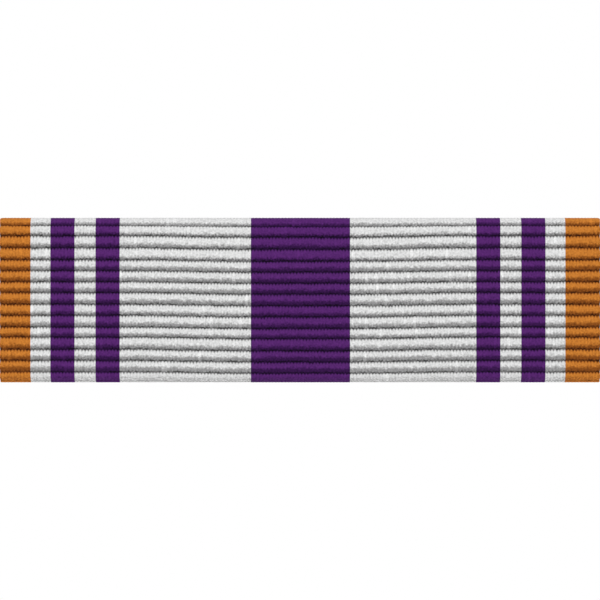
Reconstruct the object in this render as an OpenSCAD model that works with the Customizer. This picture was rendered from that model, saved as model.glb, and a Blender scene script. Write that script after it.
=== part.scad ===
// Slide-on service ribbon bar: a woven striped ribbon wrapped round a stiffener plate that is riveted to a
// slide channel, a stamped mount bar with two clutch pins, and a butterfly clutch on each pin.
// X runs along the bar, +Z is up as worn, the ribbon faces -Y and the garment lies against y = 0.

/* [Ribbon] */
// Width of the ribbon from selvage to selvage
ribbon_w = 34.925; // [33:0.005:38]
// Height of the ribbon's worn face
ribbon_h = 9.525; // [9:0.005:12]
// Thickness of the woven ribbon
ribbon_t = 0.45; // [0.3:0.01:0.5]
// Gap left between the two tucked ends behind the plate
tuck_gap = 1.5; // [1.4:0.1:4]
// Width of the orange stripe at the left selvage
orange_left_w = 1.80; // [1:0.01:2.5]
// Width of the orange stripe at the right selvage
orange_right_w = 2.04; // [1:0.01:2.5]
// Width of the white line beside each orange stripe
outer_white_w = 1.16; // [0.8:0.01:1.6]
// Width of each of the four purple lines
purple_line_w = 1.40; // [0.8:0.01:1.8]
// Width of the white line between two purple lines
inner_white_w = 1.22; // [0.8:0.01:1.6]
// Width of the white field left of the centre stripe
white_field_w = 7.63; // [6:0.01:8]
// Width of the purple centre stripe
centre_w = 5.76; // [4:0.01:7]

/* [Ribbon carrier] */
// Length of the stiffener plate inside the ribbon
plate_l = 34.3; // [30:0.1:34.5]
// Thickness of the stiffener plate
plate_t = 0.45; // [0.4:0.05:0.6]
// Length of the slide channel
channel_l = 33.8; // [30:0.1:34]
// Thickness of the slide channel's sheet
channel_t = 0.3; // [0.25:0.01:0.35]
// Radius of a clinch rivet's shank
rivet_r = 0.5; // [0.4:0.05:0.6]
// Distance from the centre rivet to each of the others
rivet_pitch = 12.5; // [11:0.5:15]

/* [Mount bar] */
// Length of the mount bar
bar_l = 34.0; // [30:0.1:36]
// Height of the mount bar across its flanges
bar_h = 7.0; // [6.8:0.1:7]
// Thickness of the mount bar's sheet
bar_t = 0.5; // [0.4:0.05:0.5]
// Height of the web that lies against the garment, between the middles of its two slopes
web_h = 4.4; // [4.2:0.1:4.4]
// How far forward of the web the flanges stand
joggle = 0.55; // [0.5:0.05:0.6]
// Sliding clearance between the flanges and the channel
slide_gap = 0.1; // [0.08:0.01:0.12]

/* [Clutch pins] */
// Distance between the two pins
pin_pitch = 20; // [16:0.5:22]
// Radius of the shoulder next to the garment face
pin_r = 0.55; // [0.52:0.01:0.58]
// Length of the shoulder
shoulder_l = 1.15; // [0.8:0.05:1.15]
// Thickness of garment between the bar and a clutch
garment_l = 2.0; // [1.6:0.1:2]
// Radius of the shank where the clutch grips it
grip_r = 0.5; // [0.45:0.01:0.5]
// Length of the pin from the garment face to its point
pin_l = 8.6; // [8.2:0.1:10]
// Radius of the pin's head
head_r = 1.3; // [1:0.1:1.4]

/* [Clutches] */
// Outside radius of the clutch
clutch_r = 4.6; // [4.5:0.05:5.6]
// Thickness of the clutch's sheet brass
clutch_t = 0.3; // [0.25:0.01:0.3]
// Radius of the turret that holds the jaws
turret_r = 3.0; // [3:0.05:3.2]
// Height of the turret over the garment side
turret_h = 3.0; // [3:0.05:3.3]
// Width of a jaw
jaw_w = 2.0; // [1.8:0.1:2]
// Width of a finger wing
wing_w = 4.6; // [3.6:0.1:5.2]
// Gap between the garment and a clutch at rest
clutch_rest = 0.1; // [0.1:0.05:0.5]

/* [Hidden] */
$fn = 64;
LEFT = -1;
RIGHT = 1;

// Places across the thickness, all along Y from the garment face at zero.
flange_y = -joggle - bar_t;
channel_back_y = flange_y - slide_gap;
channel_front_y = channel_back_y - channel_t;
plate_back_y = channel_front_y - ribbon_t;
plate_front_y = plate_back_y - plate_t;
ribbon_front_y = plate_front_y - ribbon_t;
lip_front_y = -joggle + slide_gap;
clutch_y = garment_l + clutch_rest;

// Stripes from the left selvage to the right one: [width, colour].
right_field_w = ribbon_w - orange_left_w - orange_right_w - 2 * outer_white_w
              - 4 * purple_line_w - 2 * inner_white_w - white_field_w - centre_w;
STRIPES = [[orange_left_w, "orange"], [outer_white_w, "white"], [purple_line_w, "purple"],
           [inner_white_w, "white"], [purple_line_w, "purple"], [white_field_w, "white"],
           [centre_w, "purple"], [right_field_w, "white"], [purple_line_w, "purple"],
           [inner_white_w, "white"], [purple_line_w, "purple"], [outer_white_w, "white"],
           [orange_right_w, "orange"]];
WARP = [["orange", "#B5732D"], ["white", "#D9D9D6"], ["purple", "#4B2460"]];

// Clutch details.
swivel_gap = 0.05;     // between the base's flange and the cap that is crimped round it
flange_h = 0.5;        // middle of the base's flange over the garment side
jaw_h = 1.3;           // middle of the jaw plates
hinge_u = turret_r - clutch_t / 2; // distance of the wings' pivots from the pin
hinge_h = 2.3;         // height of the pivots, in the middle of the wings' sheet
pivot_r = 0.25;        // radius of the ridge across each wing that rocks in the turret's slot
riser_u = 2.0;         // distance of each jaw's riser from the pin
wing_root_u = 3.45;    // where a wing widens outside the turret
spring_t = 0.15;       // thickness of the spring leaf
spring_w = 3.0;        // width of the spring leaf
jaw_gap = 0.05;        // half of the gap between the two jaws
grip_gap = 0.02;       // clearance of the jaws' notches on the pin

// ---------- sheet metal: a bent centreline given a thickness ----------

function unit(v) = v / norm(v);
function left_of(v) = [-v[1], v[0]];

// Points of one bend at corner b between its neighbours a and c.
function bend(a, b, c, r, n) =
    let (p = unit(a - b),
         q = unit(c - b),
         half = acos(p * q) / 2,
         centre = b + unit(p + q) * r / sin(half),
         start = b + p * r / tan(half) - centre,
         stop = b + q * r / tan(half) - centre,
         sweep = 180 - 2 * half)
    [for (i = [0:n]) centre + (start * sin(sweep * (1 - i / n)) + stop * sin(sweep * i / n)) / sin(sweep)];

// A centreline through the corners, with each inner corner bent to radius r.
function bent(corners, r, n = 5) =
    [for (i = [0:len(corners) - 1])
        each (i == 0 || i == len(corners) - 1)
            ? [corners[i]]
            : bend(corners[i - 1], corners[i], corners[i + 1], r, n)];

// Sideways step from point i of a line to the sheet's face, for a unit offset.
function side_step(line, i) =
    let (last = len(line) - 1,
         before = left_of(unit(line[max(i, 1)] - line[max(i, 1) - 1])),
         after = left_of(unit(line[min(i, last - 1) + 1] - line[min(i, last - 1)])))
    (before + after) / (1 + before * after);

// Outline of a sheet of thickness t along a centreline.
function sheet(line, t) =
    let (last = len(line) - 1)
    concat([for (i = [0:last]) line[i] + side_step(line, i) * t / 2],
           [for (i = [last:-1:0]) line[i] - side_step(line, i) * t / 2]);

// Extrudes a (y, z) section along X, centred.
module along_x(length) {
    translate([-length / 2, 0, 0]) rotate([90, 0, 90]) linear_extrude(height = length) children();
}

// Turns a shape made along Z so that it points to +Y.
module along_y() {
    rotate([-90, 0, 0]) children();
}

// Revolves an (r, h) outline about Y.
module turned(outline) {
    along_y() rotate_extrude() polygon(outline);
}

// Rectangle w by h with round corners, centred.
module round_rect(w, h, r) {
    square([w - 2 * r, h], center = true);
    square([w, h - 2 * r], center = true);
    for (x = [-1, 1], y = [-1, 1]) translate([x * (w / 2 - r), y * (h / 2 - r)]) circle(r = r);
}

// ---------- mount bar and pins ----------

bar_line = bent([[flange_y + bar_t / 2, -bar_h / 2],
                 [flange_y + bar_t / 2, -(web_h + joggle) / 2],
                 [-bar_t / 2, -(web_h - joggle) / 2],
                 [-bar_t / 2, (web_h - joggle) / 2],
                 [flange_y + bar_t / 2, (web_h + joggle) / 2],
                 [flange_y + bar_t / 2, bar_h / 2]], 0.35);
neck_r = pin_r + 0.2;  // part of the pin that is pressed into the web
dimple_r = 0.6;
dimple_rise = 0.06;

module mount_bar() {
    color("#B9964F") difference() {
        union() {
            intersection() {
                along_x(bar_l) polygon(sheet(bar_line, bar_t));
                rotate([90, 0, 0]) linear_extrude(height = 10, center = true) round_rect(bar_l, bar_h, 0.7);
            }
            // pressed dimples that grip the channel
            for (x = [-0.35, 0.35], z = [-1, 1])
                intersection() {
                    translate([x * bar_l, flange_y - dimple_rise + dimple_r, z * (bar_h / 2 - 0.55)])
                        sphere(r = dimple_r);
                    translate([x * bar_l - 1, flange_y - 1, z * (bar_h / 2 - 0.55) - 1]) cube([2, 1.1, 2]);
                }
        }
        for (side = [LEFT, RIGHT])
            translate([side * pin_pitch / 2, -1, 0]) along_y() cylinder(r = neck_r, h = 2);
    }
}

module pin(side) {
    head_y = -bar_t - 0.3;
    groove_y = pin_l - 1.7;
    tip_r = grip_r - 0.03; // the shank tapers slightly towards the point
    color("#B8B4A8") translate([side * pin_pitch / 2, 0, 0])
        turned([[0, head_y], [0.9, head_y], [1.18, head_y + 0.06], [head_r, head_y + 0.16],
                [head_r, -bar_t], [neck_r, -bar_t], [neck_r, 0],
                [pin_r, 0], [pin_r, shoulder_l], [grip_r, shoulder_l + 0.05],
                [tip_r, groove_y], [tip_r - 0.1, groove_y + 0.12], [tip_r - 0.11, groove_y + 0.28],
                [tip_r, groove_y + 0.4], [tip_r - 0.01, pin_l - 1.1],
                [0.3, pin_l - 0.5], [0.12, pin_l - 0.1], [0.06, pin_l], [0, pin_l]]);
}

// ---------- ribbon unit ----------

wall_z = bar_h / 2 + slide_gap + channel_t / 2;
lip_z = (web_h + joggle) / 2 + 0.15;
channel_line = bent([[lip_front_y + channel_t / 2, -lip_z],
                     [lip_front_y + channel_t / 2, -wall_z],
                     [channel_back_y - channel_t / 2, -wall_z],
                     [channel_back_y - channel_t / 2, wall_z],
                     [lip_front_y + channel_t / 2, wall_z],
                     [lip_front_y + channel_t / 2, lip_z]], 0.3);

module rivet_holes(r) {
    for (x = [-1, 0, 1])
        translate([x * rivet_pitch, plate_front_y - 1, 0]) along_y() cylinder(r = r, h = 4);
}

module slide_channel() {
    color("#C2A25C") difference() {
        along_x(channel_l) polygon(sheet(channel_line, channel_t));
        rivet_holes(rivet_r);
    }
}

countersink_r = 0.85;
countersink_h = 0.25;

module stiffener_plate() {
    color("#A9A9A4") difference() {
        along_x(plate_l)
            translate([(plate_front_y + plate_back_y) / 2, 0])
                round_rect(plate_t, ribbon_h - 2 * ribbon_t, 0.18);
        rivet_holes(rivet_r);
        for (x = [-1, 0, 1])
            translate([x * rivet_pitch, plate_front_y, 0]) along_y()
                cylinder(r1 = countersink_r, r2 = rivet_r, h = countersink_h);
    }
}

module clinch_rivet(place) {
    color("#B08A45") translate([place * rivet_pitch, 0, 0])
        turned([[0, plate_front_y], [countersink_r, plate_front_y],
                [rivet_r, plate_front_y + countersink_h], [rivet_r, channel_back_y],
                [0.8, channel_back_y], [0.78, channel_back_y + 0.06], [0.6, channel_back_y + 0.13],
                [0.3, channel_back_y + 0.15], [0, channel_back_y + 0.15]]);
}

// Distance from the left selvage to the start of stripe i.
function stripe_start(i) = i == 0 ? 0 : stripe_start(i - 1) + STRIPES[i - 1][0];

// Section of the ribbon wrapped round the plate, with its ends tucked behind.
module ribbon_section() {
    depth = channel_front_y - ribbon_front_y;
    translate([(channel_front_y + ribbon_front_y) / 2, 0]) difference() {
        round_rect(depth, ribbon_h, ribbon_t + 0.18);
        translate([(plate_front_y + plate_back_y - channel_front_y - ribbon_front_y) / 2, 0])
            round_rect(plate_t, ribbon_h - 2 * ribbon_t, 0.18);
        translate([depth / 2 - ribbon_t, -tuck_gap / 2]) square([ribbon_t + 1, tuck_gap]);
    }
}

module ribbon_stripes(warp) {
    color(WARP[search([warp], WARP)[0]][1])
        for (i = [0:len(STRIPES) - 1])
            if (STRIPES[i][1] == warp)
                translate([-ribbon_w / 2 + stripe_start(i) + STRIPES[i][0] / 2, 0, 0])
                    along_x(STRIPES[i][0]) ribbon_section();
}

// ---------- butterfly clutches, made about the pin with the garment side at zero ----------

module at_clutch(side) {
    translate([side * pin_pitch / 2, clutch_y, 0]) children();
}

guide_r = pin_r + 0.05;
base_line = bent([[guide_r + clutch_t / 2, 0.62],
                  [guide_r + clutch_t / 2, clutch_t / 2],
                  [clutch_r - 1.3, clutch_t / 2],
                  [clutch_r - 1.0, flange_h],
                  [clutch_r - clutch_t - 0.1, flange_h]], 0.2);

module clutch_base(side) {
    color("#C9A450") at_clutch(side) difference() {
        turned(sheet(base_line, clutch_t));
        // rings pressed into the garment side so that it grips the cloth
        for (r = [1.7, 2.4])
            turned([[r - 0.12, -0.01], [r + 0.12, -0.01], [r, 0.08]]);
    }
}

crimp_h = flange_h - clutch_t - swivel_gap;
cap_line = bent([[clutch_r - 0.72, crimp_h],
                 [clutch_r - clutch_t / 2, crimp_h],
                 [clutch_r - clutch_t / 2, flange_h + clutch_t + swivel_gap],
                 [turret_r - clutch_t / 2, flange_h + clutch_t + swivel_gap],
                 [turret_r - clutch_t / 2, turret_h - clutch_t / 2],
                 [0.75, turret_h - clutch_t / 2]], 0.25);
slot_w = jaw_w + 0.3;
slot_h = 0.72;

module clutch_cap(side) {
    color("#CBA755") at_clutch(side) difference() {
        turned(sheet(cap_line, clutch_t));
        translate([-turret_r - 0.5, hinge_h - slot_h / 2, -slot_w / 2]) cube([1.5, slot_h, slot_w]);
        translate([turret_r - 1, hinge_h - slot_h / 2, -slot_w / 2]) cube([1.5, slot_h, slot_w]);
    }
}

jaw_line = bent([[jaw_gap, jaw_h], [riser_u, jaw_h], [riser_u, hinge_h],
                 [wing_root_u, hinge_h], [4.85, 4.0], [5.45, 4.1]], 0.3);

// One jaw with its finger wing, pointing to +X from the pin.
module jaw_wing_shape() {
    difference() {
        intersection() {
            translate([0, 0, -wing_w / 2]) linear_extrude(height = wing_w) polygon(sheet(jaw_line, clutch_t));
            rotate([-90, 0, 0]) linear_extrude(height = 10) union() {
                translate([0, -jaw_w / 2]) square([wing_root_u + 1, jaw_w]);
                translate([wing_root_u + 1.1, 0]) round_rect(2.2, wing_w, 0.9);
            }
        }
        along_y() cylinder(r = grip_r + grip_gap, h = 2);
    }
    translate([hinge_u, hinge_h, -jaw_w / 2]) cylinder(r = pivot_r, h = jaw_w);
}

module jaw_wing(side, facing) {
    color("#D0AC58") at_clutch(side)
        rotate([0, facing == RIGHT ? 0 : 180, 0]) jaw_wing_shape();
}

spring_top = jaw_h - clutch_t / 2 - 0.02;
spring_line = bent([[-2.3, clutch_t + spring_t / 2 + 0.02],
                    [-1.35, spring_top - spring_t / 2],
                    [1.35, spring_top - spring_t / 2],
                    [2.3, clutch_t + spring_t / 2 + 0.02]], 0.7);

module clutch_spring(side) {
    color("#8F8F93") at_clutch(side) difference() {
        translate([0, 0, -spring_w / 2]) linear_extrude(height = spring_w) polygon(sheet(spring_line, spring_t));
        along_y() cylinder(r = guide_r + clutch_t + 0.1, h = 2);
    }
}

mount_bar();
pin(LEFT);  // pin_left
pin(RIGHT);  // pin_right
slide_channel();
stiffener_plate();
clinch_rivet(-1);  // clinch_rivet_left
clinch_rivet(0);  // clinch_rivet_centre
clinch_rivet(1);  // clinch_rivet_right
ribbon_stripes("orange");  // ribbon_orange_stripes
ribbon_stripes("white");  // ribbon_white_stripes
ribbon_stripes("purple");  // ribbon_purple_stripes
clutch_base(LEFT);  // clutch_base_left
clutch_cap(LEFT);  // clutch_cap_left
clutch_spring(LEFT);  // clutch_spring_left
jaw_wing(LEFT, LEFT);  // jaw_wing_left_outer
jaw_wing(LEFT, RIGHT);  // jaw_wing_left_inner
clutch_base(RIGHT);  // clutch_base_right
clutch_cap(RIGHT);  // clutch_cap_right
clutch_spring(RIGHT);  // clutch_spring_right
jaw_wing(RIGHT, RIGHT);  // jaw_wing_right_outer
jaw_wing(RIGHT, LEFT);  // jaw_wing_right_inner
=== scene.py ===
"""Looks of a slide-on service ribbon bar: woven ribbon, stamped carrier and bar, clutch pins and clutches."""

from __future__ import annotations

import logging
import math
from dataclasses import dataclass, field
from enum import Enum

import bmesh
import bpy
import numpy as np
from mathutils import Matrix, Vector


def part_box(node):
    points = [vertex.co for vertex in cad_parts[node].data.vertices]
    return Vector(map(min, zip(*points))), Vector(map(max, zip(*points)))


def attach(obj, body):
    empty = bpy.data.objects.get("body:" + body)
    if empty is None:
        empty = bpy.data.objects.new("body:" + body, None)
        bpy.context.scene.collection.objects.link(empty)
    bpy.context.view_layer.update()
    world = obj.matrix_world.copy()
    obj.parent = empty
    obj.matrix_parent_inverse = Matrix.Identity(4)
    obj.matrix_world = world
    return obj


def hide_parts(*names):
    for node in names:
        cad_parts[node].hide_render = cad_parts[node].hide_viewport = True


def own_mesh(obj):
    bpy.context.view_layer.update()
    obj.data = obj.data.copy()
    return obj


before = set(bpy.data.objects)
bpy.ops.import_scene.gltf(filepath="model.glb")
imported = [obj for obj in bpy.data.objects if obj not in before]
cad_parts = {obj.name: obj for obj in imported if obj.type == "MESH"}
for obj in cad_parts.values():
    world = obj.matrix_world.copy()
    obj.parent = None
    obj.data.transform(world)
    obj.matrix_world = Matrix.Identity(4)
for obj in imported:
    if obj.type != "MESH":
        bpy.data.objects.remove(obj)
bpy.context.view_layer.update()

MM = 0.001
EVEN = (1.0, 1.0, 1.0)
Colour = tuple[float, float, float, float]
Span = tuple[float, float]
log = logging.getLogger("ribbon_bar")


def srgb(red: int, green: int, blue: int) -> Colour:
    """Turns a screen colour into the linear colour that a shader takes.

    Args:
        red: Red from 0 to 255.
        green: Green from 0 to 255.
        blue: Blue from 0 to 255.

    Returns:
        The linear colour, with alpha 1.
    """
    scaled = [value / 255 for value in (red, green, blue)]
    linear = [v / 12.92 if v <= 0.04045 else ((v + 0.055) / 1.055) ** 2.4 for v in scaled]
    return (linear[0], linear[1], linear[2], 1.0)


class Grain(Enum):
    """How a metal was worked, as the stretch of its fine marks along X, Y and Z."""

    ROLLED_ALONG_BAR = (0.06, 1.0, 1.0)
    DRAWN_ALONG_PIN = (1.0, 0.08, 1.0)
    PRESSED = EVEN


class Draw(Enum):
    """Which set of random numbers the weave draws, as its place on the noise's third axis."""

    YARN_SHADE = 0.5
    CORD_SHADE_START = 1.5
    PITS_AND_SLUBS = 7.5


class Side(Enum):
    """Which clutch, as seen from the front."""

    LEFT = "left"
    RIGHT = "right"


# ---------------------------------------------------------------- shader fields


@dataclass(frozen=True)
class Field:
    """A value that varies over a surface: a node's output, with the operators that shader maths needs."""

    finish: NodeFinish
    socket: bpy.types.NodeSocket

    def math(self, operation: str, *values: Field | float) -> Field:
        """Adds a Math node.

        Args:
            operation: The node's operation.
            values: Its inputs, in order.

        Returns:
            The node's output.
        """
        return self.finish.node("ShaderNodeMath", {"operation": operation}, dict(enumerate(values)))

    def __add__(self, other: Field | float) -> Field:
        """Sum of this field and another value."""
        return self.math("ADD", self, other)

    def __sub__(self, other: Field | float) -> Field:
        """This field less another value."""
        return self.math("SUBTRACT", self, other)

    def __rsub__(self, other: float) -> Field:
        """A number less this field."""
        return self.math("SUBTRACT", other, self)

    def __mul__(self, other: Field | float) -> Field:
        """Product of this field and another value."""
        return self.math("MULTIPLY", self, other)

    def __rtruediv__(self, other: float) -> Field:
        """A number divided by this field."""
        return self.math("DIVIDE", other, self)

    def __abs__(self) -> Field:
        """Size of this field without its sign."""
        return self.math("ABSOLUTE", self)

    __radd__ = __add__
    __rmul__ = __mul__

    def floor(self) -> Field:
        """Whole part of this field."""
        return self.math("FLOOR", self)

    def fraction(self) -> Field:
        """Part of this field after its whole part."""
        return self.math("FRACT", self)

    def least(self, other: Field | float) -> Field:
        """Smaller of this field and another value."""
        return self.math("MINIMUM", self, other)

    def most(self, other: Field | float) -> Field:
        """Larger of this field and another value."""
        return self.math("MAXIMUM", self, other)

    def beyond(self, limit: float) -> Field:
        """1 where this field is over a limit, and 0 elsewhere."""
        return self.math("GREATER_THAN", self, limit)

    def slope(self, low: float, high: float) -> Field:
        """A straight slope from 0 at a low value to 1 at a high one, level outside them."""
        sockets = {"Value": self, "From Min": low, "From Max": high}
        return self.finish.node("ShaderNodeMapRange", {"interpolation_type": "LINEAR"}, sockets)

    def rise(self, low: Field | float, high: Field | float) -> Field:
        """A smooth step.

        Args:
            low: Where it leaves 0.
            high: Where it reaches 1.

        Returns:
            The stepped field, from 0 to 1.
        """
        sockets = {"Value": self, "From Min": low, "From Max": high}
        return self.finish.node("ShaderNodeMapRange", {"interpolation_type": "SMOOTHSTEP"}, sockets)


class NodeFinish:
    """The nodes of one material or of the room, and the single way to add a node to them."""

    def __init__(self, owner: bpy.types.Material | bpy.types.World, shader: str) -> None:
        """Opens the owner's nodes.

        Args:
            owner: The material or the world.
            shader: The name of its main shader node.
        """
        owner.use_nodes = True
        self.tree = owner.node_tree
        self.shader = self.tree.nodes[shader]

    def node(
        self,
        kind: str,
        settings: dict[str, object] | None = None,
        sockets: dict[str | int, object] | None = None,
        output: str | int = 0,
    ) -> Field:
        """Adds a node.

        Args:
            kind: The node's type.
            settings: Its properties, set first.
            sockets: Values or fields for its inputs, by name or number.
            output: Which output to return.

        Returns:
            The chosen output.
        """
        made = self.tree.nodes.new(kind)
        for name, value in (settings or {}).items():
            setattr(made, name, value)
        for key, value in (sockets or {}).items():
            self.feed(made.inputs[key], value)
        return Field(self, made.outputs[output])

    def feed(self, socket: bpy.types.NodeSocket, value: object) -> None:
        """Links a field to a socket, or sets the socket's own number.

        Args:
            socket: The input to feed.
            value: A field or a constant.
        """
        if isinstance(value, Field):
            self.tree.links.new(value.socket, socket)
        else:
            socket.default_value = value

    def surface(self, **values: object) -> None:
        """Feeds the main shader's sockets.

        Args:
            values: Fields or constants, by socket name with underscores for spaces.
        """
        for name, value in values.items():
            self.feed(self.shader.inputs[name.replace("_", " ")], value)

    def attribute(self, name: str) -> Field:
        """A number stored on the mesh."""
        return self.node("ShaderNodeAttribute", {"attribute_name": name}, output="Fac")

    def mixed(self, share: Field | float, first: object, second: object, how: str = "MIX") -> Field:
        """Blends two colours.

        Args:
            share: How much of the second shows.
            first: A colour or colour field.
            second: A colour or colour field.
            how: The Mix node's blend type.

        Returns:
            The blended colour.
        """
        settings = {"data_type": "RGBA", "blend_type": how}
        return self.node("ShaderNodeMix", settings, {0: share, 6: first, 7: second}, output=2)

    def scaled(self, vector: Field, factor: Field | float) -> Field:
        """A vector or colour times a number."""
        return self.node("ShaderNodeVectorMath", {"operation": "SCALE"}, {0: vector, 3: factor})

    def stretched(self, stretch: tuple[float, float, float]) -> Field:
        """The piece's own coordinates, stretched along each axis."""
        place = self.node("ShaderNodeTexCoord", output="Object")
        return self.node("ShaderNodeVectorMath", {"operation": "MULTIPLY"}, {0: place, 1: stretch})

    def noise(self, place: Field, scale: float, detail: float = 2.0) -> Field:
        """Smooth noise with a given number of blobs per metre."""
        sockets = {"Vector": place, "Scale": scale, "Detail": detail}
        return self.node("ShaderNodeTexNoise", None, sockets)

    def chance(self, across: Field | float, along: Field | float, draw: Draw) -> Field:
        """A random number from 0 to 1 for each place, across and along the weave, in one draw."""
        spot = self.node("ShaderNodeCombineXYZ", None, {0: across, 1: along, 2: draw.value})
        return self.node("ShaderNodeTexWhiteNoise", {"noise_dimensions": "3D"}, {"Vector": spot})

    def bump(self, height: Field, distance: float) -> Field:
        """A shading normal from a height that runs from 0 to 1 over a distance in metres."""
        return self.node("ShaderNodeBump", None, {"Height": height, "Distance": distance})


# ---------------------------------------------------------------- finishes


@dataclass(frozen=True)
class MetalFinish:
    """A worked sheet or wire: its colour, tarnish, rubbed edges lightened with a painted highlight, and tool
    marks.
    """

    name: str
    colour: Colour
    tarnish: Colour
    polish_and_highlight: Colour
    grain: Grain
    roughness: float = 0.34
    tarnish_share: float = 0.45
    mark_depth: float = 0.003 * MM
    marks_per_metre: float = 9000.0
    fine_per_metre: float = 2600.0
    clouds_per_metre: float = 210.0
    handling_per_metre: float = 90.0
    scratches_per_metre: float = 5200.0
    scratch_stretch: tuple[float, float, float] = (0.04, 0.3, 1.3)
    cloud_stretch: tuple[float, float, float] = (0.5, 1.0, 1.0)
    clouded: Span = (0.35, 0.8)
    handled: Span = (0.3, 0.65)
    spotted: Span = (0.68, 0.8)
    rubbed: Span = (0.25, 0.6)
    scratched: Span = (0.7, 0.76)
    spot_share: float = 0.2
    edge_wear_and_highlight: float = 0.8
    scratch_polish: float = 0.5
    grain_roughness: float = 0.2
    stain_roughness: float = 0.3
    spot_roughness: float = 0.2
    handling_roughness: float = 0.16
    wear_smoothness: float = 0.12
    scratch_smoothness: float = 0.08
    fine_height: float = 0.2
    scratch_height: float = 0.6

    def material(self) -> bpy.types.Material:
        """Makes the node material.

        Returns:
            The material, which reads the mesh's "edge" attribute for its rubbed edges and their painted
            highlight.
        """
        material = bpy.data.materials.new(self.name)
        finish = NodeFinish(material, "Principled BSDF")
        place = finish.stretched(EVEN)
        marks = finish.noise(finish.stretched(self.grain.value), self.marks_per_metre, 3.0)
        fine = finish.noise(place, self.fine_per_metre, 4.0)
        clouds = finish.noise(finish.stretched(self.cloud_stretch), self.clouds_per_metre, 5.0)
        handling = finish.noise(place, self.handling_per_metre, 2.0)
        scratches = finish.noise(finish.stretched(self.scratch_stretch), self.scratches_per_metre, 0.0)
        scratches = scratches.rise(*self.scratched)
        edge = finish.attribute("edge")
        stain = clouds.rise(*self.clouded) * handling.rise(*self.handled) * self.tarnish_share
        spots = fine.rise(*self.spotted) * self.spot_share
        worn = edge * fine.rise(*self.rubbed)
        colour = finish.mixed(stain, self.colour, self.tarnish)
        colour = finish.mixed(spots, colour, self.tarnish)
        # rubbed edges take the lighter colour as wear and as a painted highlight; scratches take it as wear
        wear_and_highlight = (worn * self.edge_wear_and_highlight).most(scratches * self.scratch_polish)
        rough = self.roughness + (marks - 0.5) * self.grain_roughness + stain * self.stain_roughness
        rough = rough + spots * self.spot_roughness - worn * self.wear_smoothness
        rough = rough + (handling - 0.5) * self.handling_roughness - scratches * self.scratch_smoothness
        height = marks + fine * self.fine_height - scratches * self.scratch_height
        finish.surface(
            Base_Color=finish.mixed(wear_and_highlight, colour, self.polish_and_highlight),
            Metallic=1.0,
            Roughness=rough,
            Normal=finish.bump(height, self.mark_depth),
        )
        return material


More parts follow.
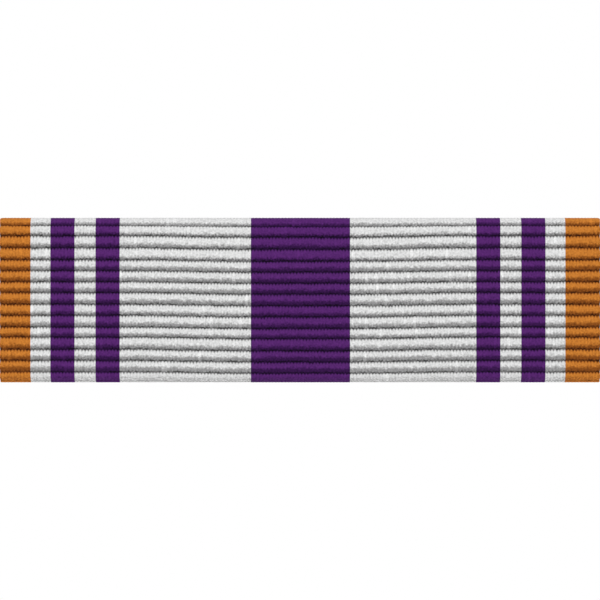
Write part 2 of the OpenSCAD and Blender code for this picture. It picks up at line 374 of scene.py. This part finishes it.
@dataclass(frozen=True)
class WeaveFinish:
    """Corded rayon weave: stripes of dyed warp, floats lying side by side over each weft cord, with painted
    shade in the grooves, under the cords and between the yarns.
    """

    stripes: list[tuple[float, str]]
    yarns: float
    dyes: dict[str, Colour] = field(
        default_factory=lambda: {
            "orange": srgb(204, 127, 49),
            "white": srgb(229, 229, 229),
            "purple": srgb(88, 38, 111),
        }
    )
    fade_from: float = 0.425
    fade_over: float = 0.32
    fade_by_cord: float = 0.26
    fade_by_patch: float = 0.17
    fade_by_fleck: float = 0.34
    shelf_shade: float = 0.545
    crease_from: float = 0.75
    crease_by_fleck: float = 0.5
    crease_full: float = 0.96
    crease_shade: float = 0.47
    dashed: Span = (0.4, 0.62)
    dash_shade: float = 0.4
    groove_shade: Span = (-0.05, 0.15)
    groove_shade_between: float = 0.02
    groove_shade_by_yarn: float = 0.11
    groove_shade_by_fleck: float = 0.14
    groove_shade_depth: float = 0.74
    pitted: Span = (0.955, 0.97)
    pit_shade_depth: float = 0.6
    slubbed: Span = (0.03, 0.02)
    slub_light: float = 0.12
    gap_shade: float = 0.05
    yarn_shade: float = 0.98
    yarn_shade_spread: float = 0.03
    fleck_shade: float = 0.965
    fleck_shade_spread: float = 0.65
    shade_tint_share: float = 0.45
    yarn_depth: float = 0.02 * MM
    roundness_height: float = 0.5
    groove_flattening: float = 0.6
    fibre_height: float = 0.3
    fleck_height: float = 0.8
    roughness: float = 0.66
    fibre_roughness: float = 0.16
    uneven_per_metre: float = 750.0
    flecks_per_metre: float = 9500.0
    dashes_per_metre: float = 5200.0
    dash_stretch: tuple[float, float, float] = (0.7, 1.0, 1.0)
    fibres_per_metre: float = 14000.0
    fibre_stretch: tuple[float, float, float] = (1.0, 1.0, 0.15)

    def material(self) -> bpy.types.Material:
        """Makes the node material, whose base colour carries painted shade.

        Returns:
            The material, which reads the mesh's "rib", "warp" and "fall" attributes.
        """
        material = bpy.data.materials.new("corded_ribbon_weave")
        finish = NodeFinish(material, "Principled BSDF")
        place = finish.stretched(EVEN)
        rib, warp = finish.attribute("rib"), finish.attribute("warp")
        cord = rib.floor()
        yarn = warp + (cord * 0.5).fraction()
        between = abs(yarn.fraction() - 0.5) * 2.0
        between = between * between
        single = finish.chance(yarn.floor(), cord, Draw.YARN_SHADE)
        flaw = finish.chance(yarn.floor(), cord, Draw.PITS_AND_SLUBS)
        flecks = finish.noise(place, self.flecks_per_metre, 1.0) - 0.5
        fibres = finish.noise(finish.stretched(self.fibre_stretch), self.fibres_per_metre)
        lower, to_groove = self.places(finish, rib - cord)
        climb = between * (self.groove_shade_between + single * self.groove_shade_by_yarn)
        # painted shade along the groove between cords, with a ragged edge between the yarns
        groove_shade = 1.0 - (to_groove - climb - flecks * self.groove_shade_by_fleck).rise(*self.groove_shade)
        # random pits inside the groove, darkened further with painted shade
        pits = flaw.rise(*self.pitted) * groove_shade
        slubs = flaw.rise(*self.slubbed) * self.slub_light
        shade = self.shadow(finish, cord, lower, flecks)
        shade = shade * (1.0 - groove_shade * self.groove_shade_depth) * (1.0 - pits * self.pit_shade_depth)
        # painted shade in the narrow gaps between neighbouring yarns
        shade = shade * (1.0 - between * self.gap_shade)
        shade = shade * (self.yarn_shade + single * self.yarn_shade_spread)
        shade = shade * (self.fleck_shade + flecks * self.fleck_shade_spread) + slubs
        height = (1.0 - between) * (1.0 - groove_shade * self.groove_flattening) * self.roundness_height
        height = height + fibres * self.fibre_height + flecks * self.fleck_height
        finish.surface(
            Base_Color=finish.scaled(self.dyed(finish, warp, shade), shade),
            Roughness=self.roughness + fibres * self.fibre_roughness,
            Normal=finish.bump(height, self.yarn_depth),
            Specular_IOR_Level=0.08,
        )
        return material

    def places(self, finish: NodeFinish, along: Field) -> tuple[Field, Field]:
        """Finds where a point lies on its cord.

        Args:
            finish: The material's nodes.
            along: The point's share of the way over the cord.

        Returns:
            How low it is on the cord's front, from 0 to 1, and its share of the way to the groove that shows.
        """
        fall = finish.attribute("fall")
        return (along - 0.5) * fall + abs(fall) * 0.5, along.least(1.0 - along + fall.most(0.0))

    def shadow(self, finish: NodeFinish, cord: Field, lower: Field, flecks: Field) -> Field:
        """Paints shade on the underside of each cord, which turns away from the light above, and the darkest
        painted shade in the crease below it.

        Args:
            finish: The material's nodes.
            cord: The cord's number.
            lower: How low a point is on its cord.
            flecks: Fine noise about 0.

        Returns:
            The share of the dye's brightness that is left.
        """
        cord_shade_start = finish.chance(3.5, cord, Draw.CORD_SHADE_START)
        uneven = finish.noise(finish.stretched(EVEN), self.uneven_per_metre, 3.0)
        dashes = finish.noise(finish.stretched(self.dash_stretch), self.dashes_per_metre, 1.0)
        start = self.fade_from + (cord_shade_start - 0.5) * self.fade_by_cord + (uneven - 0.5) * self.fade_by_patch
        start = start + flecks * self.fade_by_fleck
        # painted shade on the cord's underside, which turns away from the light above, darkest in the crease
        # below
        underside = 1.0 - lower.rise(start, start + self.fade_over) * self.shelf_shade
        crease = lower.rise(self.crease_from + flecks * self.crease_by_fleck, self.crease_full)
        return underside * (1.0 - crease * (self.crease_shade + dashes.rise(*self.dashed) * self.dash_shade))

    def dyed(self, finish: NodeFinish, warp: Field, shade: Field) -> Field:
        """Dyes the warp in stripes, and tints the painted shade with a deeper, more saturated colour of the
        dye, as light bounced between the yarns gives where little light reaches.

        Args:
            finish: The material's nodes.
            warp: The number of the warp yarn.
            shade: The share of the dye's brightness that is left.

        Returns:
            The dye's colour, with the painted shade's deeper tint.
        """
        colour = finish.mixed(0.0, self.dyes[self.stripes[0][1]], (0.0, 0.0, 0.0, 1.0))
        for begins, dye in self.stripes[1:]:
            colour = finish.mixed(warp.beyond(begins * self.yarns), colour, self.dyes[dye])
        strongest = finish.node("ShaderNodeSeparateColor", {"mode": "HSV"}, {0: colour}, output=2)
        # a deeper, saturated tint of the dye for the painted shade
        deep = finish.scaled(finish.mixed(1.0, colour, colour, "MULTIPLY"), 1.0 / strongest)
        return finish.mixed((1.0 - shade) * self.shade_tint_share, colour, deep)


BRASS = srgb(205, 168, 96)
BRASS_TARNISH = srgb(140, 98, 48)
BRASS_POLISH_AND_HIGHLIGHT = srgb(240, 212, 150)
BAR_BRASS = MetalFinish("bar_brass", BRASS, BRASS_TARNISH, BRASS_POLISH_AND_HIGHLIGHT, Grain.ROLLED_ALONG_BAR)
CHANNEL_BRASS = MetalFinish(
    "channel_brass", srgb(214, 178, 106), BRASS_TARNISH, BRASS_POLISH_AND_HIGHLIGHT, Grain.ROLLED_ALONG_BAR, 0.3
)
RIVET_BRASS = MetalFinish("rivet_brass", BRASS, BRASS_TARNISH, BRASS_POLISH_AND_HIGHLIGHT, Grain.PRESSED, 0.38)
CLUTCH_BRASS = MetalFinish(
    "clutch_brass", srgb(222, 186, 112), BRASS_TARNISH, BRASS_POLISH_AND_HIGHLIGHT, Grain.PRESSED, 0.25, 0.35
)
WING_BRASS = MetalFinish(
    "wing_brass", srgb(224, 190, 118), BRASS_TARNISH, BRASS_POLISH_AND_HIGHLIGHT, Grain.PRESSED, 0.22, 0.5
)
PIN_NICKEL = MetalFinish(
    "pin_nickel", srgb(196, 192, 182), srgb(128, 118, 100), srgb(226, 222, 212), Grain.DRAWN_ALONG_PIN, 0.24
)
PLATE_METAL = MetalFinish(
    "plate_metal", srgb(186, 186, 184), srgb(132, 132, 130), srgb(220, 220, 218), Grain.ROLLED_ALONG_BAR, 0.4
)
SPRING_STEEL = MetalFinish(
    "spring_steel", srgb(150, 150, 154), srgb(92, 86, 80), srgb(200, 200, 204), Grain.ROLLED_ALONG_BAR, 0.3
)


# ---------------------------------------------------------------- metal pieces


@dataclass(frozen=True)
class Pressing:
    """A metal piece in the shape of a CAD node, with its sharp edges broken as tumbling leaves them."""

    node: str
    body: str
    finish: MetalFinish
    edge: float = 0.035 * MM
    sharp: float = math.radians(32)
    level: float = math.radians(0.3)
    hard: float = math.radians(50)
    weld: float = 0.0004 * MM
    flat_weight: int = 80

    def worked_mesh(self) -> bpy.types.Mesh:
        """Takes the node's shape and breaks its sharp edges.

        Returns:
            The mesh, with an "edge" attribute of 1 on the broken edges.
        """
        shape = bmesh.new()
        shape.from_mesh(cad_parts[self.node].data)
        bmesh.ops.remove_doubles(shape, verts=shape.verts, dist=self.weld)
        bmesh.ops.dissolve_limit(shape, angle_limit=self.level, verts=shape.verts, edges=shape.edges)
        edge_layer = shape.loops.layers.float.new("edge")
        sharp = [e for e in shape.edges if e.is_manifold and e.calc_face_angle() > self.sharp]
        worked = bmesh.ops.bevel(
            shape,
            geom=sharp,
            offset=self.edge,
            offset_type="OFFSET",
            segments=2,
            profile=0.5,
            affect="EDGES",
            clamp_overlap=True,
            material=-1,
        )
        mesh = bpy.data.meshes.new(self.node + "_metal")
        for face in worked["faces"]:
            for corner in face.loops:
                corner[edge_layer] = 1.0
        bmesh.ops.triangulate(shape, faces=[f for f in shape.faces if len(f.verts) > 4])
        for face in shape.faces:
            face.smooth = True
        shape.to_mesh(mesh)
        shape.free()
        mesh.set_sharp_from_angle(angle=self.hard)
        return mesh

    def build(self, materials: dict[str, bpy.types.Material]) -> bpy.types.Object:
        """Makes the piece and lets it ride on its body.

        Args:
            materials: The materials already made, by name.

        Returns:
            The finished piece.
        """
        mesh = self.worked_mesh()
        piece = bpy.data.objects.new(self.node + "_metal", mesh)
        bpy.context.scene.collection.objects.link(piece)
        weigh = piece.modifiers.new("even_normals", "WEIGHTED_NORMAL")
        weigh.keep_sharp = True
        weigh.weight = self.flat_weight
        if self.finish.name not in materials:
            materials[self.finish.name] = self.finish.material()
        mesh.materials.append(materials[self.finish.name])
        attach(piece, self.body)
        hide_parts(self.node)
        return piece


def report(piece: bpy.types.Object, what: str) -> None:
    """Logs a finished piece.

    Args:
        piece: The piece.
        what: What it is, in plain words.
    """
    log.info("%s: %s, %d faces", piece.name, what, len(piece.data.polygons))


@dataclass
class MountBar:
    """The stamped bar that lies against the garment, with its two clutch pins."""

    materials: dict[str, bpy.types.Material]
    body: str = "mount_bar_with_pins"

    def build(self) -> None:
        """Builds the bar and both pins."""
        bar = Pressing("mount_bar", self.body, BAR_BRASS, 0.06 * MM).build(self.materials)
        report(bar, "stamped mount bar")
        for side in Side:
            pin = Pressing(f"pin_{side.value}", self.body, PIN_NICKEL, 0.02 * MM).build(self.materials)
            report(pin, "clutch pin")


@dataclass
class RibbonCarrier:
    """The channel, plate and rivets that the ribbon is wrapped round."""

    materials: dict[str, bpy.types.Material]
    body: str = "ribbon_unit"

    def build(self) -> None:
        """Builds the channel, the plate and the three rivets."""
        channel = Pressing("slide_channel", self.body, CHANNEL_BRASS, 0.04 * MM).build(self.materials)
        report(channel, "slide channel")
        plate = Pressing("stiffener_plate", self.body, PLATE_METAL, 0.03 * MM).build(self.materials)
        report(plate, "stiffener plate")
        for place in ("left", "centre", "right"):
            rivet = Pressing(f"clinch_rivet_{place}", self.body, RIVET_BRASS, 0.02 * MM)
            report(rivet.build(self.materials), "clinch rivet")


@dataclass
class ButterflyClutch:
    """One clutch: base, crimped cap, spring leaf and two jaws with finger wings."""

    side: Side
    materials: dict[str, bpy.types.Material]

    def build(self) -> None:
        """Builds the clutch's five pieces."""
        name = self.side.value
        base = Pressing(f"clutch_base_{name}", f"clutch_{name}", CLUTCH_BRASS, 0.03 * MM)
        report(base.build(self.materials), "stamped clutch base")
        cap = Pressing(f"clutch_cap_{name}", f"clutch_{name}_cap", CLUTCH_BRASS, 0.05 * MM)
        report(cap.build(self.materials), "crimped clutch cap")
        for place in ("outer", "inner"):
            wing = Pressing(f"jaw_wing_{name}_{place}", f"wing_{name}_{place}", WING_BRASS, 0.06 * MM)
            report(wing.build(self.materials), "jaw with finger wing")
        self.build_spring(name)

    def build_spring(self, name: str) -> None:
        """Builds the spring leaf on a mesh of its own; the real leaf flattens on the base as the wings are
        squeezed.

        Args:
            name: The clutch's side.
        """
        node = f"clutch_spring_{name}"
        spring = Pressing(node, f"clutch_{name}_cap", SPRING_STEEL, 0.02 * MM).build(self.materials)
        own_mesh(spring)
        report(spring, "bowed spring leaf")


# ---------------------------------------------------------------- ribbon


def smooth_step(values: np.ndarray, low: float, high: float) -> np.ndarray:
    """A smooth step over an array.

    Args:
        values: The values.
        low: Where the step leaves 0.
        high: Where the step reaches 1.

    Returns:
        The stepped values, from 0 to 1.
    """
    t = np.clip((values - low) / (high - low), 0, 1)
    return t * t * (3 - 2 * t)


class Outline:
    """The ribbon's section: from the upper tucked end over the top, down the front and round to the back."""

    STEP = 0.004 * MM
    FORWARD = -0.2

    def __init__(self, back: float, front: float, top: float, corner: float, tuck: float) -> None:
        """Lays out the section.

        Args:
            back: The outer face's y behind the plate.
            front: The outer face's y in front.
            top: Half of the ribbon's height.
            corner: The outer radius of the four corners.
            tuck: Half of the gap between the two tucked ends.
        """
        self.points: list[tuple[float, float, float, float]] = []
        rear, fore, low = back - corner, front + corner, top - corner
        self.straight((back, tuck), (back, low))
        self.turn((rear, low), corner, 0.0)
        self.straight((rear, top), (fore, top))
        self.turn((fore, low), corner, 0.5 * math.pi)
        self.straight((front, low), (front, -low))
        self.turn((fore, -low), corner, math.pi)
        self.straight((fore, -top), (rear, -top))
        self.turn((rear, -low), corner, 1.5 * math.pi)
        self.straight((back, -low), (back, -tuck))
        self.table = np.array(self.points)
        gaps = np.linalg.norm(np.diff(self.table[:, :2], axis=0), axis=1)
        self.lengths = np.concatenate([[0.0], np.cumsum(gaps)])

    @property
    def length(self) -> float:
        """Length of the section's outer face."""
        return float(self.lengths[-1])

    def straight(self, start: tuple[float, float], stop: tuple[float, float]) -> None:
        """Adds a straight run.

        Args:
            start: The first (y, z).
            stop: The last (y, z), which the next stretch adds.
        """
        run = math.dist(start, stop)
        dy, dz = (stop[0] - start[0]) / run, (stop[1] - start[1]) / run
        for t in np.linspace(0, run, max(2, int(run / self.STEP)))[:-1]:
            self.points.append((start[0] + dy * t, start[1] + dz * t, dz, -dy))

    def turn(self, centre: tuple[float, float], radius: float, start: float) -> None:
        """Adds a quarter turn.

        Args:
            centre: The (y, z) that it turns about.
            radius: Its radius.
            start: Its first outward direction in radians, from +Y towards +Z.
        """
        for a in np.linspace(0, math.pi / 2, int(2 * radius / self.STEP))[:-1]:
            ny, nz = math.cos(start + a), math.sin(start + a)
            self.points.append((centre[0] + radius * ny, centre[1] + radius * nz, ny, nz))

    def at(self, s: np.ndarray) -> tuple[np.ndarray, ...]:
        """The section's y and z and its outward direction's y and z at some arc lengths."""
        return tuple(np.interp(s, self.lengths, self.table[:, i]) for i in range(4))

    def first_in_front(self, below: float) -> float:
        """Arc length of the front's first point lower than a height."""
        chosen = (self.table[:, 2] < self.FORWARD) & (self.table[:, 1] < below)
        return float(self.lengths[np.argmax(chosen)])


@dataclass
class WovenRibbon:
    """The ribbon: one cloth wrapped round the plate, corded across, with both ends tucked behind."""

    body: str = "ribbon_unit"
    colours: tuple[str, ...] = ("orange", "white", "purple")
    cord_pitch: float = 0.652 * MM
    cord_spread: float = 0.055
    first_groove: float = 0.40 * MM
    end_margin: float = 0.4
    relief: float = 0.125 * MM
    relief_range: Span = (0.76, 1.0)
    relief_behind: float = 0.55
    relief_over_fold: float = 0.3
    relief_wander: float = 0.08
    fold_rise: Span = (0.75, 0.98)
    yarn_pitch: float = 0.186 * MM
    tooth: float = 0.021 * MM
    tooth_range: Span = (0.2, 1.8)
    yarn_rise: float = 0.005 * MM
    sag: float = 0.09 * MM
    sag_spans: Span = (2.9 * MM, 9.9 * MM)
    wander: float = 0.014 * MM
    wander_lengths: tuple[float, ...] = (1.1 * MM, 2.3 * MM, 4.1 * MM, 9.0 * MM)
    wander_weights: Span = (0.2, 0.6)
    plate_edge: float = 0.18 * MM
    loop: float = 0.03 * MM
    loop_reach: float = 0.12 * MM
    over_edge: float = 0.06 * MM
    proud: float = 0.045 * MM
    thin_selvage: float = 0.025 * MM
    selvage_reach: float = 0.06 * MM
    selvage_power: float = 1.5
    skin_depth: float = 0.97
    seed: int = 11
    backward: float = 0.5
    front_steps: tuple[float, ...] = (0.0, 0.06, 0.13, 0.24, 0.38, 0.54, 0.7, 0.83, 0.93)
    back_steps: tuple[float, ...] = (0.0, 0.12, 0.35, 0.65, 0.88)
    inner_step: int = 12

    def __post_init__(self) -> None:
        """Reads the ribbon's box, thickness and tucked ends from the frame."""
        boxes = [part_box(f"ribbon_{colour}_stripes") for colour in self.colours]
        self.low = Vector([min(b[0][i] for b in boxes) for i in range(3)])
        self.high = Vector([max(b[1][i] for b in boxes) for i in range(3)])
        self.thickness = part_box("stiffener_plate")[0].y - self.low.y
        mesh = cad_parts["ribbon_white_stripes"].data
        behind = [abs(v.co.z) for v in mesh.vertices if self.high.y - v.co.y < 0.01 * MM]
        corner = self.thickness + self.plate_edge
        self.outline = Outline(self.high.y, self.low.y, self.high.z, corner, min(behind))
        self.chance = np.random.default_rng(self.seed)
        width = self.high.x - self.low.x
        columns = round(2 * width / self.yarn_pitch / self.inner_step) * self.inner_step
        self.x = np.linspace(self.low.x, self.high.x, columns + 1)

    def stripes(self) -> list[tuple[float, str]]:
        """Reads the stripes from the frame.

        Returns:
            Where each stripe starts, from 0 at the left selvage to 1 at the right, and its colour.
        """
        width = self.high.x - self.low.x
        starts = []
        micron = 0.001 * MM
        for colour in self.colours:
            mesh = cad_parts[f"ribbon_{colour}_stripes"].data
            edges = sorted({round(v.co.x / micron) for v in mesh.vertices})
            starts += [((x * micron - self.low.x) / width, colour) for x in edges[::2]]
        return sorted(starts)

    def grooves(self) -> np.ndarray:
        """Places the grooves between the weft cords, at an uneven pitch.

        Returns:
            The grooves' arc lengths, between those of the two ends.
        """
        first = self.outline.first_in_front(self.high.z - self.first_groove)
        count = int(self.outline.length / self.cord_pitch) + 4
        steps = self.cord_pitch * (1 + self.cord_spread * self.chance.standard_normal(2 * count))
        after = first + np.concatenate([[0.0], np.cumsum(steps[:count])])
        before = first - self.over_edge - np.cumsum(steps[count:])
        places = np.sort(np.concatenate([before, after]))
        margin = self.end_margin * self.cord_pitch
        kept = places[(places > margin) & (places < self.outline.length - margin)]
        return np.concatenate([[0.0], kept, [self.outline.length]])

    def wavering(self, count: int) -> np.ndarray:
        """Makes a slow random wander along each of some cords.

        Args:
            count: How many cords.

        Returns:
            One row for each cord, near -1 to 1.
        """
        rows = np.zeros((count, len(self.x)))
        for length in self.wander_lengths:
            phase = self.chance.uniform(0, 2 * math.pi, (count, 1))
            weight = self.chance.uniform(*self.wander_weights, (count, 1))
            rows += weight * np.sin(2 * math.pi * self.x[None, :] / length + phase)
        return rows

    def woven_face(self) -> tuple[np.ndarray, np.ndarray, np.ndarray]:
        """Shapes the woven face.

        Returns:
            Its points as rows across the ribbon, each row's cord number, and each row's arc length.
        """
        x, outline, grooves = self.x, self.outline, self.grooves()
        cords = len(grooves) - 1
        number = np.arange(len(x))[None, :] + np.arange(cords + 1)[:, None]
        zigzag = np.where(number % 2 == 0, 1.0, -1.0)
        facing = np.clip(-outline.at(grooves)[2], 0, 1)
        centre = 1 - smooth_step(np.abs(x), *self.sag_spans)
        line = grooves[:, None] + facing[:, None] * self.sag * centre[None, :]
        uneven = self.chance.uniform(*self.tooth_range, zigzag.shape)
        line = line + self.wander * self.wavering(cords + 1) + self.tooth * zigzag * uneven
        line[0], line[-1] = grooves[0], grooves[-1]
        depth = self.chance.uniform(*self.relief_range, (cords, 1))
        depth = depth + self.relief_wander * self.wavering(cords)
        inward = np.minimum(x - self.low.x, self.high.x - x)
        selvage = self.thin_selvage * np.exp(-((inward / self.selvage_reach) ** self.selvage_power))
        points, ribs, lengths = [], [], []
        for cord in range(cords):
            behind = outline.at(grooves[cord] + 0.5 * self.cord_pitch)[2] > self.backward
            steps = self.back_steps if behind else self.front_steps
            for t in steps + ((1.0,) if cord == cords - 1 else ()):
                s = line[cord] + t * (line[cord + 1] - line[cord])
                y, z, ny, nz = outline.at(s)
                crest = math.sin(math.pi * t)
                over = smooth_step(np.abs(nz), *self.fold_rise)
                relief = self.relief * (self.relief_behind if behind else 1.0)
                relief *= 1 - (1 - self.relief_over_fold) * over
                drop = depth[cord] * (1 - crest) * relief + selvage - self.proud * over
                drop = drop + self.yarn_rise * (1 + crest * zigzag[cord])
                edge = self.loop * (1 - crest) * np.exp(-((inward / self.loop_reach) ** 2)) * np.sign(x)
                points.append(np.column_stack([x - edge, y - ny * drop, z - nz * drop]))
                ribs.append(cord + t)
                lengths.append(float(np.mean(s)))
        return np.array(points), np.array(ribs), np.array(lengths)

    def cloth_mesh(self) -> bpy.types.Mesh:
        """Closes the woven face into one cloth with an inner skin.

        Returns:
            The mesh, with the "rib", "warp" and "fall" attributes that the weave's finish reads.
        """
        outer, ribs, lengths = self.woven_face()
        rows, columns = outer.shape[:2]
        y, z, ny, nz = self.outline.at(lengths)
        deep = self.thickness * self.skin_depth
        knots = np.arange(0, columns, self.inner_step)
        inner = np.zeros((rows, len(knots), 3))
        inner[:, :, 0] = self.x[knots][None, :]
        inner[:, :, 1] = (y - ny * deep)[:, None]
        inner[:, :, 2] = (z - nz * deep)[:, None]
        sides = np.zeros((rows, 2, 3))
        sides[:, 0] = 0.5 * (outer[:, 0] + inner[:, 0])
        sides[:, 1] = 0.5 * (outer[:, -1] + inner[:, -1])
        pull = self.loop * (1 - np.sin(math.pi * (ribs % 1.0)))
        sides[:, 0, 0] = self.low.x + pull
        sides[:, 1, 0] = self.high.x - pull
        verts = np.concatenate([part.reshape(-1, 3) for part in (outer, inner, sides)])
        mesh = bpy.data.meshes.new("woven_ribbon")
        mesh.from_pydata(verts.tolist(), [], self.faces(rows, columns, len(knots)))
        half = np.arange(columns) / 2
        numbers = {
            "rib": np.concatenate([np.repeat(ribs, n) for n in (columns, len(knots), 2)]),
            "warp": np.concatenate([np.tile(part, rows) for part in (half, half[knots], half[[0, -1]])]),
            "fall": np.concatenate([np.repeat(-ny, n) for n in (columns, len(knots), 2)]),
        }
        for name, values in numbers.items():
            mesh.attributes.new(name, "FLOAT", "POINT").data.foreach_set("value", values.astype(np.float32))
        whole = bmesh.new()
        whole.from_mesh(mesh)
        bmesh.ops.recalc_face_normals(whole, faces=whole.faces)
        for face in whole.faces:
            face.smooth = True
        whole.to_mesh(mesh)
        whole.free()
        return mesh

    def build(self) -> bpy.types.Object:
        """Returns:
            The ribbon.
        """
        mesh = self.cloth_mesh()
        ribbon = bpy.data.objects.new("woven_ribbon", mesh)
        bpy.context.scene.collection.objects.link(ribbon)
        mesh.materials.append(WeaveFinish(self.stripes(), (len(self.x) - 1) / 2).material())
        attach(ribbon, self.body)
        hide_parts(*[f"ribbon_{colour}_stripes" for colour in self.colours])
        return ribbon

    def faces(self, rows: int, columns: int, knots: int) -> list[list[int]]:
        """Lists the faces of the closed cloth.

        Args:
            rows: Rows of points.
            columns: Points in a row of the woven face.
            knots: Points in a row of the inner skin.

        Returns:
            Vertex numbers of each face.
        """
        outer = np.arange(rows * columns).reshape(rows, columns)
        inner = outer.size + np.arange(rows * knots).reshape(rows, knots)
        sides = outer.size + inner.size + np.arange(rows * 2).reshape(rows, 2)
        strips = [outer, inner[:, ::-1]]
        strips.append(np.column_stack([inner[:, 0], sides[:, 0], outer[:, 0]]))
        strips.append(np.column_stack([outer[:, -1], sides[:, 1], inner[:, -1]]))
        found: list[list[int]] = []
        for grid in strips:
            corners = (grid[:-1, :-1], grid[1:, :-1], grid[1:, 1:], grid[:-1, 1:])
            found += np.stack([c.ravel() for c in corners], axis=1).tolist()
        for row in (0, rows - 1):
            for k in range(knots - 1):
                span = outer[row, k * self.inner_step : (k + 1) * self.inner_step + 1].tolist()
                after = [int(sides[row, 1])] if k == knots - 2 else []
                before = [int(sides[row, 0])] if k == 0 else []
                found.append(span + after + [int(inner[row, k + 1]), int(inner[row, k])] + before)
        return found


# ---------------------------------------------------------------- studio


@dataclass
class Studio:
    """A pale floor, soft light from above and a long lens square to the ribbon."""

    lens: float = 200.0
    film: float = 36.0
    floor_drop: float = 0.045
    floor_radius: float = 0.3
    floor_glow: float = 0.22
    key_power: float = 0.78
    key_distance: float = 0.35
    key_elevation: float = math.radians(55)
    key_size: float = 0.14
    key_aside: float = -0.12
    rear_from: tuple[float, float, float] = (0.35, 0.7, 0.65)
    rear_share: float = 0.5
    sky: float = 0.2
    glow_below: Span = (-0.4, -0.32)
    glow_above: Span = (0.1, 0.2)
    framing: float = 0.998

    def build(self, low: Vector, high: Vector) -> None:
        """Makes the camera, the lights, the world and the floor round the object's box.

        Args:
            low: Lowest corner of the ribbon.
            high: Highest corner of the ribbon.
        """
        scene = bpy.context.scene
        scene.view_settings.view_transform = "Standard"
        self.camera(low, high)
        self.world()
        self.floor(low.z - self.floor_drop)
        rise, reach = math.sin(self.key_elevation), math.cos(self.key_elevation)
        front = Vector((self.key_aside, -reach, rise)).normalized() * self.key_distance
        back = Vector(self.rear_from).normalized() * self.key_distance
        self.lamp("key_softbox", front, self.key_power)
        self.lamp("rear_softbox", back, self.key_power * self.rear_share)

    def camera(self, low: Vector, high: Vector) -> None:
        """Makes the camera, so that the ribbon's front face fills the picture's width.

        Args:
            low: Lowest corner of the ribbon.
            high: Highest corner of the ribbon.
        """
        data = bpy.data.cameras.new("square_view")
        data.lens, data.sensor_width = self.lens, self.film
        data.clip_start, data.clip_end = 0.01, 5.0
        view = bpy.data.objects.new("square_view", data)
        bpy.context.scene.collection.objects.link(view)
        distance = self.framing * (high.x - low.x) * self.lens / self.film
        view.location = ((low.x + high.x) / 2, low.y - distance, (low.z + high.z) / 2)
        view.rotation_euler = (math.pi / 2, 0, 0)
        bpy.context.scene.camera = view

    def world(self) -> None:
        """Makes a soft room: white at eye level and a little below, dim overhead and underfoot."""
        room = bpy.data.worlds.new("soft_room")
        glow = NodeFinish(room, "Background")
        place = glow.node("ShaderNodeTexCoord", output="Generated")
        height = glow.node("ShaderNodeSeparateXYZ", None, {0: place}, output="Z")
        band = height.slope(*self.glow_below) * (1.0 - height.slope(*self.glow_above))
        glow.surface(Color=self.sky + band * (1.0 - self.sky))
        bpy.context.scene.world = room

    def lamp(self, name: str, place: Vector, power: float) -> None:
        """Adds a square softbox that faces the object.

        Args:
            name: The light's name.
            place: Where it hangs.
            power: Its power in watts.
        """
        data = bpy.data.lights.new(name, "AREA")
        data.energy, data.size = power, self.key_size
        light = bpy.data.objects.new(name, data)
        light.location = place
        light.rotation_mode = "QUATERNION"
        light.rotation_quaternion = (-place).to_track_quat("-Z", "Y")
        bpy.context.scene.collection.objects.link(light)

    def floor(self, level: float) -> None:
        """Lays a round pale floor.

        Args:
            level: Its height.
        """
        shape = bmesh.new()
        bmesh.ops.create_circle(shape, cap_ends=True, segments=128, radius=self.floor_radius)
        mesh = bpy.data.meshes.new("studio_floor")
        shape.to_mesh(mesh)
        shape.free()
        plate = bpy.data.objects.new("studio_floor", mesh)
        plate.location.z = level
        bpy.context.scene.collection.objects.link(plate)
        paint = bpy.data.materials.new("floor_paint")
        coat = NodeFinish(paint, "Principled BSDF")
        white = (0.9, 0.9, 0.9, 1.0)
        coat.surface(Base_Color=white, Roughness=0.8, Emission_Color=white, Emission_Strength=self.floor_glow)
        mesh.materials.append(paint)


def main() -> None:
    """Builds the whole ribbon bar and the studio round it."""
    logging.basicConfig(level=logging.INFO, format="%(name)s: %(message)s")
    ribbon = WovenRibbon()
    Studio().build(ribbon.low, ribbon.high)
    materials: dict[str, bpy.types.Material] = {}
    MountBar(materials).build()
    RibbonCarrier(materials).build()
    for side in Side:
        ButterflyClutch(side, materials).build()
    report(ribbon.build(), "corded ribbon in thirteen stripes")


if __name__ == "__main__":
    main()
